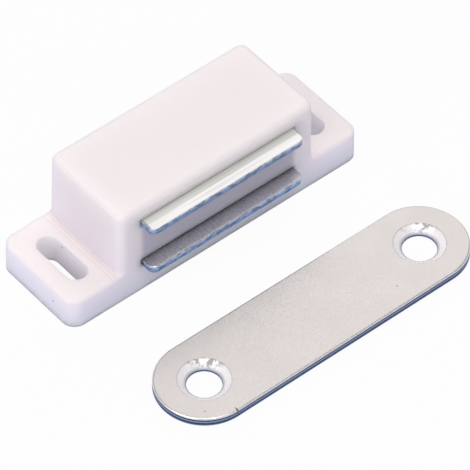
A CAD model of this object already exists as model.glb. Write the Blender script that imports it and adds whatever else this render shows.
"""Looks of the magnetic catch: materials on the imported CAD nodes, a pale floor, soft light and the camera."""

import math

import bpy
from mathutils import Matrix, Vector


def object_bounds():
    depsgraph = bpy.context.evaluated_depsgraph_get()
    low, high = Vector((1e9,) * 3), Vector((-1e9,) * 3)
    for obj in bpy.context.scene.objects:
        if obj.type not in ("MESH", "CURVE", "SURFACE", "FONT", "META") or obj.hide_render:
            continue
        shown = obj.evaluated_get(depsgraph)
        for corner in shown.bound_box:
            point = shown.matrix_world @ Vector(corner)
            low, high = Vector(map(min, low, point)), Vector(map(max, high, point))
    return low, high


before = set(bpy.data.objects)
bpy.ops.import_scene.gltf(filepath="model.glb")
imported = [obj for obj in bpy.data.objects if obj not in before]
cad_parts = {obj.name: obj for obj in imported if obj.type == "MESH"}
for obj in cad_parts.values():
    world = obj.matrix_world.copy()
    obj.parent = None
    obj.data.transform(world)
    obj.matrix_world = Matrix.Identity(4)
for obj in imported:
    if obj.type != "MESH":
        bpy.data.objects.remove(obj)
cad_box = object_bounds()

MM = 0.001

HOUSING_TOP = 14.4 * MM
SLOT_X = 18.85 * MM
SLOT_HALF_WIDTH = 1.55 * MM
SLOT_HALF_LENGTH = 4.2 * MM
FOOT_X = 15.45 * MM
WALL_Y = -6.95 * MM
NOSE_Y = -9.05 * MM
UPPER_POLE_BOTTOM = 11.05 * MM
LOWER_POLE_BOTTOM = 4.1 * MM
POLE_THICKNESS = 1.1 * MM

# dark specks in the plastic, in mm
SPECKS = ((-17.5, -0.6, 3.0), (-17.45, -3.0, 2.6), (-22.95, -3.4, 2.4), (-17.4, 1.8, 3.6))

# strike plate: where its holes are, and its sizes
STRIKE_MIDDLE = (1.1 * MM, -23.7 * MM)
HOLE_REACH = 17.15 * MM
HOLE_RADIUS = 2.2 * MM
SINK_RADIUS = 3.38 * MM
STRIKE_THICKNESS = 1.2 * MM

# ---- camera: azimuth and elevation round the origin, in degrees, and distances in metres ----
CAMERA_AZIMUTH = -40.69
CAMERA_ELEVATION = 48.28
CAMERA_ROLL = 1.05
CAMERA_DISTANCE = 0.6036
CAMERA_LENS = 374.2
SENSOR_WIDTH = 36.0
AIM_RIGHT = 6.57 * MM
AIM_UP = -3.28 * MM


def camera_axes():
    """Right, up and back directions of the camera in the row frame."""
    azimuth, elevation = math.radians(CAMERA_AZIMUTH), math.radians(CAMERA_ELEVATION)
    level = math.cos(elevation)
    back = Vector((math.sin(azimuth) * level, -math.cos(azimuth) * level, math.sin(elevation)))
    right = Vector((math.cos(azimuth), math.sin(azimuth), 0))
    up = back.cross(right)
    roll = math.radians(CAMERA_ROLL)
    return (
        right * math.cos(roll) + up * math.sin(roll),
        up * math.cos(roll) - right * math.sin(roll),
        back,
    )


def make_camera():
    """Places the camera along those axes and makes it the scene's."""
    right, up, back = camera_axes()
    data = bpy.data.cameras.new("camera")
    data.sensor_width = SENSOR_WIDTH
    data.lens = CAMERA_LENS
    data.clip_start = 0.01
    data.clip_end = 20
    camera = bpy.data.objects.new("camera", data)
    bpy.context.scene.collection.objects.link(camera)
    turn = Matrix((right, up, back)).transposed().to_4x4()
    place = back * CAMERA_DISTANCE + right * AIM_RIGHT + up * AIM_UP
    camera.matrix_world = Matrix.Translation(place) @ turn
    bpy.context.scene.camera = camera


# ---- node helpers ----
def new_material(name):
    """A material with one principled shader wired to its output."""
    material = bpy.data.materials.new(name)
    material.use_nodes = True
    nodes, links = material.node_tree.nodes, material.node_tree.links
    nodes.clear()
    shader = nodes.new("ShaderNodeBsdfPrincipled")
    output = nodes.new("ShaderNodeOutputMaterial")
    links.new(shader.outputs["BSDF"], output.inputs["Surface"])
    return material, nodes, links, shader


def place_coordinates(nodes, links, stretch=(1, 1, 1)):
    """Position on the object in its own frame, stretched for streaks."""
    where = nodes.new("ShaderNodeTexCoord")
    mapping = nodes.new("ShaderNodeMapping")
    mapping.inputs["Scale"].default_value = stretch
    links.new(where.outputs["Object"], mapping.inputs["Vector"])
    return mapping.outputs["Vector"]


def noise(nodes, links, coordinates, size_mm, detail=2.0, roughness=0.5):
    """Noise whose features are about size_mm across."""
    texture = nodes.new("ShaderNodeTexNoise")
    texture.inputs["Scale"].default_value = 1 / (size_mm * MM)
    texture.inputs["Detail"].default_value = detail
    texture.inputs["Roughness"].default_value = roughness
    links.new(coordinates, texture.inputs["Vector"])
    return texture.outputs["Fac"]


def remap(nodes, links, value, low, high, to_low, to_high):
    """Moves a value from one range to another, smoothly and without passing the ends."""
    node = nodes.new("ShaderNodeMapRange")
    node.interpolation_type = "SMOOTHSTEP"
    for socket, number in zip(("From Min", "From Max", "To Min", "To Max"), (low, high, to_low, to_high)):
        node.inputs[socket].default_value = number
    links.new(value, node.inputs["Value"])
    return node.outputs["Result"]


def mix_colour(nodes, links, factor, first, second):
    """Mixes two colours, each a tuple or a socket."""
    node = nodes.new("ShaderNodeMix")
    node.data_type = "RGBA"
    for socket, colour in zip((node.inputs[6], node.inputs[7]), (first, second)):
        if isinstance(colour, tuple):
            socket.default_value = (*colour, 1)
        else:
            links.new(colour, socket)
    links.new(factor, node.inputs[0])
    return node.outputs[2]


def bump(nodes, links, height, distance_mm, strength):
    node = nodes.new("ShaderNodeBump")
    node.inputs["Distance"].default_value = distance_mm * MM
    node.inputs["Strength"].default_value = strength
    links.new(height, node.inputs["Height"])
    return node.outputs["Normal"]


def facing_up(nodes, links):
    """1 on faces that look straight up or down, 0 on upright ones."""
    geometry = nodes.new("ShaderNodeNewGeometry")
    split = nodes.new("ShaderNodeSeparateXYZ")
    size = nodes.new("ShaderNodeMath")
    size.operation = "ABSOLUTE"
    links.new(geometry.outputs["Normal"], split.inputs["Vector"])
    links.new(split.outputs["Z"], size.inputs[0])
    return size.outputs["Value"]


def place_parts(nodes, links):
    """X, Y and Z on the object, in metres."""
    where = nodes.new("ShaderNodeTexCoord")
    split = nodes.new("ShaderNodeSeparateXYZ")
    links.new(where.outputs["Object"], split.inputs["Vector"])
    return split.outputs


def arithmetic(nodes, links, operation, first, second=0.0):
    node = nodes.new("ShaderNodeMath")
    node.operation = operation
    for socket, value in zip(node.inputs, (first, second)):
        if isinstance(value, (int, float)):
            socket.default_value = value
        else:
            links.new(value, socket)
    return node.outputs["Value"]


def bands(nodes, links, value, low, high, stops):
    """Colour bands over a range of a value; stops are (share of the range, colour)."""
    share = nodes.new("ShaderNodeMapRange")
    share.inputs["From Min"].default_value = low
    share.inputs["From Max"].default_value = high
    links.new(value, share.inputs["Value"])
    ramp = nodes.new("ShaderNodeValToRGB")
    while len(ramp.color_ramp.elements) < len(stops):
        ramp.color_ramp.elements.new(0.5)
    for element, (place, colour) in zip(ramp.color_ramp.elements, stops):
        element.position = place
        element.color = (*colour, 1)
    links.new(share.outputs["Result"], ramp.inputs["Fac"])
    return ramp.outputs["Color"]


def between(nodes, links, value, low, high, soft):
    """1 where the value lies between low and high, fading over soft at each end."""
    rise = remap(nodes, links, value, low - soft, low, 0.0, 1.0)
    drop = remap(nodes, links, value, high, high + soft, 1.0, 0.0)
    return arithmetic(nodes, links, "MULTIPLY", rise, drop)


def near_points(nodes, links, points, radius):
    """1 within a radius of any of these points on the object."""
    where = nodes.new("ShaderNodeTexCoord")
    found = None
    for point in points:
        gap = nodes.new("ShaderNodeVectorMath")
        gap.operation = "DISTANCE"
        gap.inputs[1].default_value = [c * MM for c in point]
        links.new(where.outputs["Object"], gap.inputs[0])
        spot = remap(nodes, links, gap.outputs["Value"], radius * 0.5 * MM, radius * MM, 1.0, 0.0)
        found = spot if found is None else arithmetic(nodes, links, "MAXIMUM", found, spot)
    return found


# ---- materials ----
def milky_plastic():
    """White plastic that lets light in: pinkish above, bluer towards the mounting face."""
    material, nodes, links, shader = new_material("milky_plastic")
    here = place_coordinates(nodes, links)
    cloud = noise(nodes, links, here, 9.0, detail=3)
    part = place_parts(nodes, links)
    clear = mix_colour(nodes, links, cloud, (0.99, 0.86, 0.845), (0.998, 0.88, 0.865))
    upright = bands(
        nodes, links, part["Z"], 0.0, HOUSING_TOP,
        ((0.0, (0.80, 0.82, 0.93)), (0.3, (0.90, 0.85, 0.92)),
         (0.7, (0.97, 0.865, 0.89)), (1.0, (0.99, 0.865, 0.865))),
    )
    level = remap(nodes, links, facing_up(nodes, links), 0.5, 0.9, 0.0, 1.0)
    skin = mix_colour(nodes, links, level, upright, clear)
    side = arithmetic(nodes, links, "ABSOLUTE", part["X"])
    # the walls inside a screw slot are lit through the plastic
    in_slot = arithmetic(
        nodes, links, "MULTIPLY",
        between(nodes, links, side, SLOT_X - SLOT_HALF_WIDTH, SLOT_X + SLOT_HALF_WIDTH, 0.05 * MM),
        arithmetic(nodes, links, "SUBTRACT", 1.0, level),
    )
    in_slot = arithmetic(nodes, links, "MULTIPLY", in_slot,
                         between(nodes, links, part["Y"], -SLOT_HALF_LENGTH, SLOT_HALF_LENGTH, 0.05 * MM))
    skin = mix_colour(nodes, links, in_slot, skin, (0.985, 0.945, 0.985))
    # the black magnet shows through the thin front wall, between the pole plates
    shows = arithmetic(nodes, links, "MULTIPLY",
                       between(nodes, links, part["Z"], 5.6 * MM, 10.6 * MM, 0.7 * MM),
                       between(nodes, links, side, 0.0, 11.4 * MM, 1.2 * MM))
    shows = arithmetic(nodes, links, "MULTIPLY", shows,
                       remap(nodes, links, part["Y"], -6.3 * MM, -6.6 * MM, 0.0, 1.0))
    skin = mix_colour(nodes, links, arithmetic(nodes, links, "MULTIPLY", shows, 0.55), skin, (0.34, 0.37, 0.50))
    # witness lines in the top of the ear, along the tower's foot
    lines = arithmetic(nodes, links, "MAXIMUM",
                       between(nodes, links, side, FOOT_X + 0.42 * MM, FOOT_X + 0.5 * MM, 0.08 * MM),
                       between(nodes, links, side, FOOT_X + 0.95 * MM, FOOT_X + 1.0 * MM, 0.08 * MM))
    lines = arithmetic(nodes, links, "MULTIPLY", lines,
                       between(nodes, links, part["Z"], 4.2 * MM, 4.7 * MM, 0.05 * MM))
    skin = mix_colour(nodes, links, arithmetic(nodes, links, "MULTIPLY", lines, 0.2), skin, (0.62, 0.60, 0.68))
    dust = near_points(nodes, links, SPECKS, 0.17)
    skin = mix_colour(nodes, links, arithmetic(nodes, links, "MULTIPLY", dust, 0.8), skin, (0.20, 0.20, 0.26))
    links.new(skin, shader.inputs["Base Color"])
    grain = noise(nodes, links, here, 0.35, detail=3)
    links.new(remap(nodes, links, cloud, 0.3, 0.7, 0.34, 0.42), shader.inputs["Roughness"])
    links.new(bump(nodes, links, grain, 0.02, 0.25), shader.inputs["Normal"])
    shader.inputs["IOR"].default_value = 1.49
    shader.inputs["Subsurface Weight"].default_value = 0.85
    shader.inputs["Subsurface Radius"].default_value = (1.0, 0.9, 1.0)
    shader.inputs["Subsurface Scale"].default_value = 2.4 * MM
    return material


def pole_steel(name, bottom, bands_out, metal, rough, stretch, contrast):
    """Zinc-plated pole plate: bands from the wall out to the nose, grain, and a mottled blue sheared edge."""
    material, nodes, links, shader = new_material(name)
    part = place_parts(nodes, links)
    streaks = remap(nodes, links, noise(nodes, links, place_coordinates(nodes, links, stretch), 0.3, detail=4),
                    0.36, 0.64, 0.0, 1.0)
    face = bands(nodes, links, part["Y"], WALL_Y, NOSE_Y, bands_out)
    darker = arithmetic(nodes, links, "MULTIPLY", streaks, contrast)
    face = mix_colour(nodes, links, darker, face, (0.30, 0.31, 0.33))
    edge = bands(
        nodes, links, part["Z"], bottom, bottom + POLE_THICKNESS,
        ((0.0, (0.07, 0.14, 0.28)), (0.2, (0.20, 0.36, 0.62)),
         (0.6, (0.30, 0.44, 0.66)), (0.85, (0.70, 0.76, 0.82))),
    )
    blotches = noise(nodes, links, place_coordinates(nodes, links, (0.45, 1, 1)), 0.5, detail=4)
    mottle = remap(nodes, links, blotches, 0.45, 0.58, 0.0, 0.65)
    edge = mix_colour(nodes, links, mottle, edge, (0.06, 0.11, 0.20))
    flat = remap(nodes, links, facing_up(nodes, links), 0.35, 0.75, 0.0, 1.0)
    end = remap(nodes, links, arithmetic(nodes, links, "ABSOLUTE", part["X"]), 11.75 * MM, 11.95 * MM, 0.0, 0.7)
    face = mix_colour(nodes, links, end, face, (0.12, 0.14, 0.17))
    links.new(mix_colour(nodes, links, flat, edge, face), shader.inputs["Base Color"])
    links.new(remap(nodes, links, streaks, 0.0, 1.0, rough - 0.04, rough + 0.06), shader.inputs["Roughness"])
    links.new(bump(nodes, links, streaks, 0.008, 0.4), shader.inputs["Normal"])
    shader.inputs["Metallic"].default_value = metal
    return material


def strike_steel():
    """Satin stamped plate: grained face, bright rolled rim and countersinks, bands on the sheared edge."""
    material, nodes, links, shader = new_material("strike_steel")
    here = place_coordinates(nodes, links)
    part = place_parts(nodes, links)
    grain = remap(nodes, links, noise(nodes, links, here, 0.26, detail=5, roughness=0.75), 0.36, 0.64, 0.0, 1.0)
    cloud = noise(nodes, links, here, 5.0, detail=2)
    face = mix_colour(nodes, links, grain, (0.595, 0.572, 0.55), (0.655, 0.632, 0.608))
    face = mix_colour(nodes, links, remap(nodes, links, cloud, 0.35, 0.65, 0.0, 0.35), face, (0.68, 0.65, 0.63))

    edge = bands(
        nodes, links, part["Z"], 0.0, STRIKE_THICKNESS,
        ((0.0, (0.40, 0.52, 0.74)), (0.2, (0.05, 0.09, 0.18)), (0.34, (0.03, 0.05, 0.11)),
         (0.46, (0.36, 0.45, 0.60)), (0.56, (0.36, 0.45, 0.60)), (0.66, (0.02, 0.035, 0.07)),
         (0.76, (0.02, 0.035, 0.07)), (0.84, (1.0, 1.0, 1.0))),
    )
    flat = remap(nodes, links, facing_up(nodes, links), 0.8, 0.97, 0.0, 1.0)
    colour = mix_colour(nodes, links, flat, edge, face)

    # how far from the nearest hole's centre
    across = arithmetic(nodes, links, "SUBTRACT", part["X"], STRIKE_MIDDLE[0])
    side = arithmetic(nodes, links, "MULTIPLY", arithmetic(nodes, links, "SIGN", across), HOLE_REACH)
    off_x = arithmetic(nodes, links, "SUBTRACT", across, side)
    off_y = arithmetic(nodes, links, "SUBTRACT", part["Y"], STRIKE_MIDDLE[1])
    away = arithmetic(
        nodes, links, "SQRT",
        arithmetic(nodes, links, "ADD",
                   arithmetic(nodes, links, "MULTIPLY", off_x, off_x),
                   arithmetic(nodes, links, "MULTIPLY", off_y, off_y)),
    )
    sunk = remap(nodes, links, away, SINK_RADIUS, SINK_RADIUS - 0.06 * MM, 0.0, 1.0)
    # tool marks darken the side of each countersink that faces +X and +Y
    far = arithmetic(nodes, links, "ADD",
                     arithmetic(nodes, links, "MULTIPLY", off_x, 0.65),
                     arithmetic(nodes, links, "MULTIPLY", off_y, 0.76))
    blotch = arithmetic(nodes, links, "MULTIPLY",
                        remap(nodes, links, far, 1.9 * MM, 2.9 * MM, 0.0, 1.0),
                        remap(nodes, links, noise(nodes, links, here, 0.7, detail=4), 0.45, 0.6, 0.0, 0.8))
    turned = bands(
        nodes, links, away, HOLE_RADIUS, SINK_RADIUS,
        ((0.0, (0.30, 0.31, 0.35)), (0.14, (0.66, 0.66, 0.68)), (0.34, (1.0, 0.99, 0.98)),
         (0.86, (1.0, 0.99, 0.97)),
         (0.97, (0.50, 0.48, 0.46))),
    )
    cone = mix_colour(nodes, links, blotch, turned, (0.24, 0.23, 0.22))
    land = remap(nodes, links, part["Z"], 0.26 * MM, 0.32 * MM, 1.0, 0.0)
    cone = mix_colour(nodes, links, land, cone, (0.06, 0.15, 0.34))
    colour = mix_colour(nodes, links, sunk, colour, cone)
    # a nick in the long edge and two small dents beside the holes
    nick = arithmetic(nodes, links, "MULTIPLY",
                      between(nodes, links, part["X"], -16.1 * MM, -16.0 * MM, 0.07 * MM),
                      remap(nodes, links, part["Y"], -29.3 * MM, -29.6 * MM, 0.0, 1.0))
    dents = near_points(nodes, links, ((11.5, -27.2, 1.2), (-19.2, -27.6, 1.2)), 0.16)
    marks = arithmetic(nodes, links, "MAXIMUM", nick, arithmetic(nodes, links, "MULTIPLY", dents, 0.6))
    colour = mix_colour(nodes, links, marks, colour, (0.16, 0.16, 0.18))
    links.new(colour, shader.inputs["Base Color"])
    links.new(remap(nodes, links, sunk, 0.0, 1.0, 1.0, 0.15), shader.inputs["Metallic"])
    links.new(remap(nodes, links, grain, 0.3, 0.7, 0.33, 0.43), shader.inputs["Roughness"])
    links.new(bump(nodes, links, grain, 0.008, 0.3), shader.inputs["Normal"])
    return material


def ferrite():
    material, nodes, links, shader = new_material("ferrite")
    here = place_coordinates(nodes, links)
    speck = noise(nodes, links, here, 0.4, detail=4)
    colour = mix_colour(nodes, links, speck, (0.035, 0.035, 0.04), (0.075, 0.075, 0.08))
    links.new(colour, shader.inputs["Base Color"])
    links.new(bump(nodes, links, speck, 0.03, 0.4), shader.inputs["Normal"])
    shader.inputs["Roughness"].default_value = 0.7
    return material


def dress(node, material):
    """Gives a CAD node this material all over."""
    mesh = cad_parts[node].data
    mesh.materials.clear()
    mesh.materials.append(material)


# ---- stage and light ----
FLOOR_SIDE = 8.0


def make_floor():
    """A pale sheet that the camera and reflections see as white, with only the object's soft shadow on it."""
    bpy.ops.mesh.primitive_plane_add(size=FLOOR_SIDE, location=(0, 0, cad_box[0].z - 0.02 * MM))
    floor = bpy.context.object
    floor.name = "floor"
    material, nodes, links, shader = new_material("floor")
    shader.inputs["Base Color"].default_value = (0.80, 0.82, 0.90, 1)
    shader.inputs["Roughness"].default_value = 0.9
    glow = nodes.new("ShaderNodeEmission")
    glow.inputs["Color"].default_value = (1, 1, 1, 1)
    path = nodes.new("ShaderNodeLightPath")
    share = nodes.new("ShaderNodeMath")
    share.operation = "MULTIPLY"
    share.inputs[1].default_value = 0.94
    mix = nodes.new("ShaderNodeMixShader")
    output = nodes["Material Output"]
    links.new(path.outputs["Is Camera Ray"], share.inputs[0])
    links.new(share.outputs["Value"], mix.inputs["Fac"])
    links.new(shader.outputs["BSDF"], mix.inputs[1])
    links.new(glow.outputs["Emission"], mix.inputs[2])
    links.new(mix.outputs["Shader"], output.inputs["Surface"])
    floor.data.materials.append(material)


def make_world():
    world = bpy.data.worlds.new("world")
    world.use_nodes = True
    nodes, links = world.node_tree.nodes, world.node_tree.links
    nodes.clear()
    sky = nodes.new("ShaderNodeBackground")
    sky.inputs["Color"].default_value = (0.95, 0.93, 1.0, 1)
    sky.inputs["Strength"].default_value = 0.42
    output = nodes.new("ShaderNodeOutputWorld")
    links.new(sky.outputs["Background"], output.inputs["Surface"])
    bpy.context.scene.world = world


def make_lamp(name, azimuth, elevation, distance, side, power, colour):
    """A square soft lamp that looks at the origin."""
    data = bpy.data.lights.new(name, "AREA")
    data.size = side
    data.energy = power
    data.color = colour
    lamp = bpy.data.objects.new(name, data)
    turn, rise = math.radians(azimuth), math.radians(elevation)
    way = Vector((math.sin(turn) * math.cos(rise), -math.cos(turn) * math.cos(rise), math.sin(rise)))
    lamp.location = way * distance
    lamp.rotation_mode = "QUATERNION"
    lamp.rotation_quaternion = way.to_track_quat("Z", "Y")
    bpy.context.scene.collection.objects.link(lamp)


make_camera()
make_floor()
make_world()
make_lamp("key", -20, 66, 0.6, 0.22, 1.0, (1.0, 0.96, 0.94))
make_lamp("back_panel", 139, 48, 0.8, 0.8, 1.9, (1.0, 0.97, 0.95))
make_lamp("left_fill", -80, 35, 0.7, 0.5, 1.5, (1.0, 0.97, 0.97))

dress("housing", milky_plastic())
dress("upper_pole_plate", pole_steel(
    "upper_pole_steel", UPPER_POLE_BOTTOM,
    ((0.0, (0.62, 0.66, 0.61)), (0.42, (0.78, 0.82, 0.76)), (0.5, (0.97, 0.98, 0.95)), (1.0, (0.99, 1.0, 0.98))),
    0.08, 0.38, (0.03, 1, 1), 0.22,
))
dress("lower_pole_plate", pole_steel(
    "lower_pole_steel", LOWER_POLE_BOTTOM,
    ((0.0, (0.20, 0.20, 0.21)), (0.3, (0.48, 0.48, 0.49)), (0.8, (0.78, 0.79, 0.79)), (0.93, (1.0, 1.0, 1.0))),
    0.9, 0.24, (1.3, 0.3, 1), 0.24,
))
dress("magnet", ferrite())
dress("strike_plate", strike_steel())

bpy.context.scene.view_settings.view_transform = "Standard"
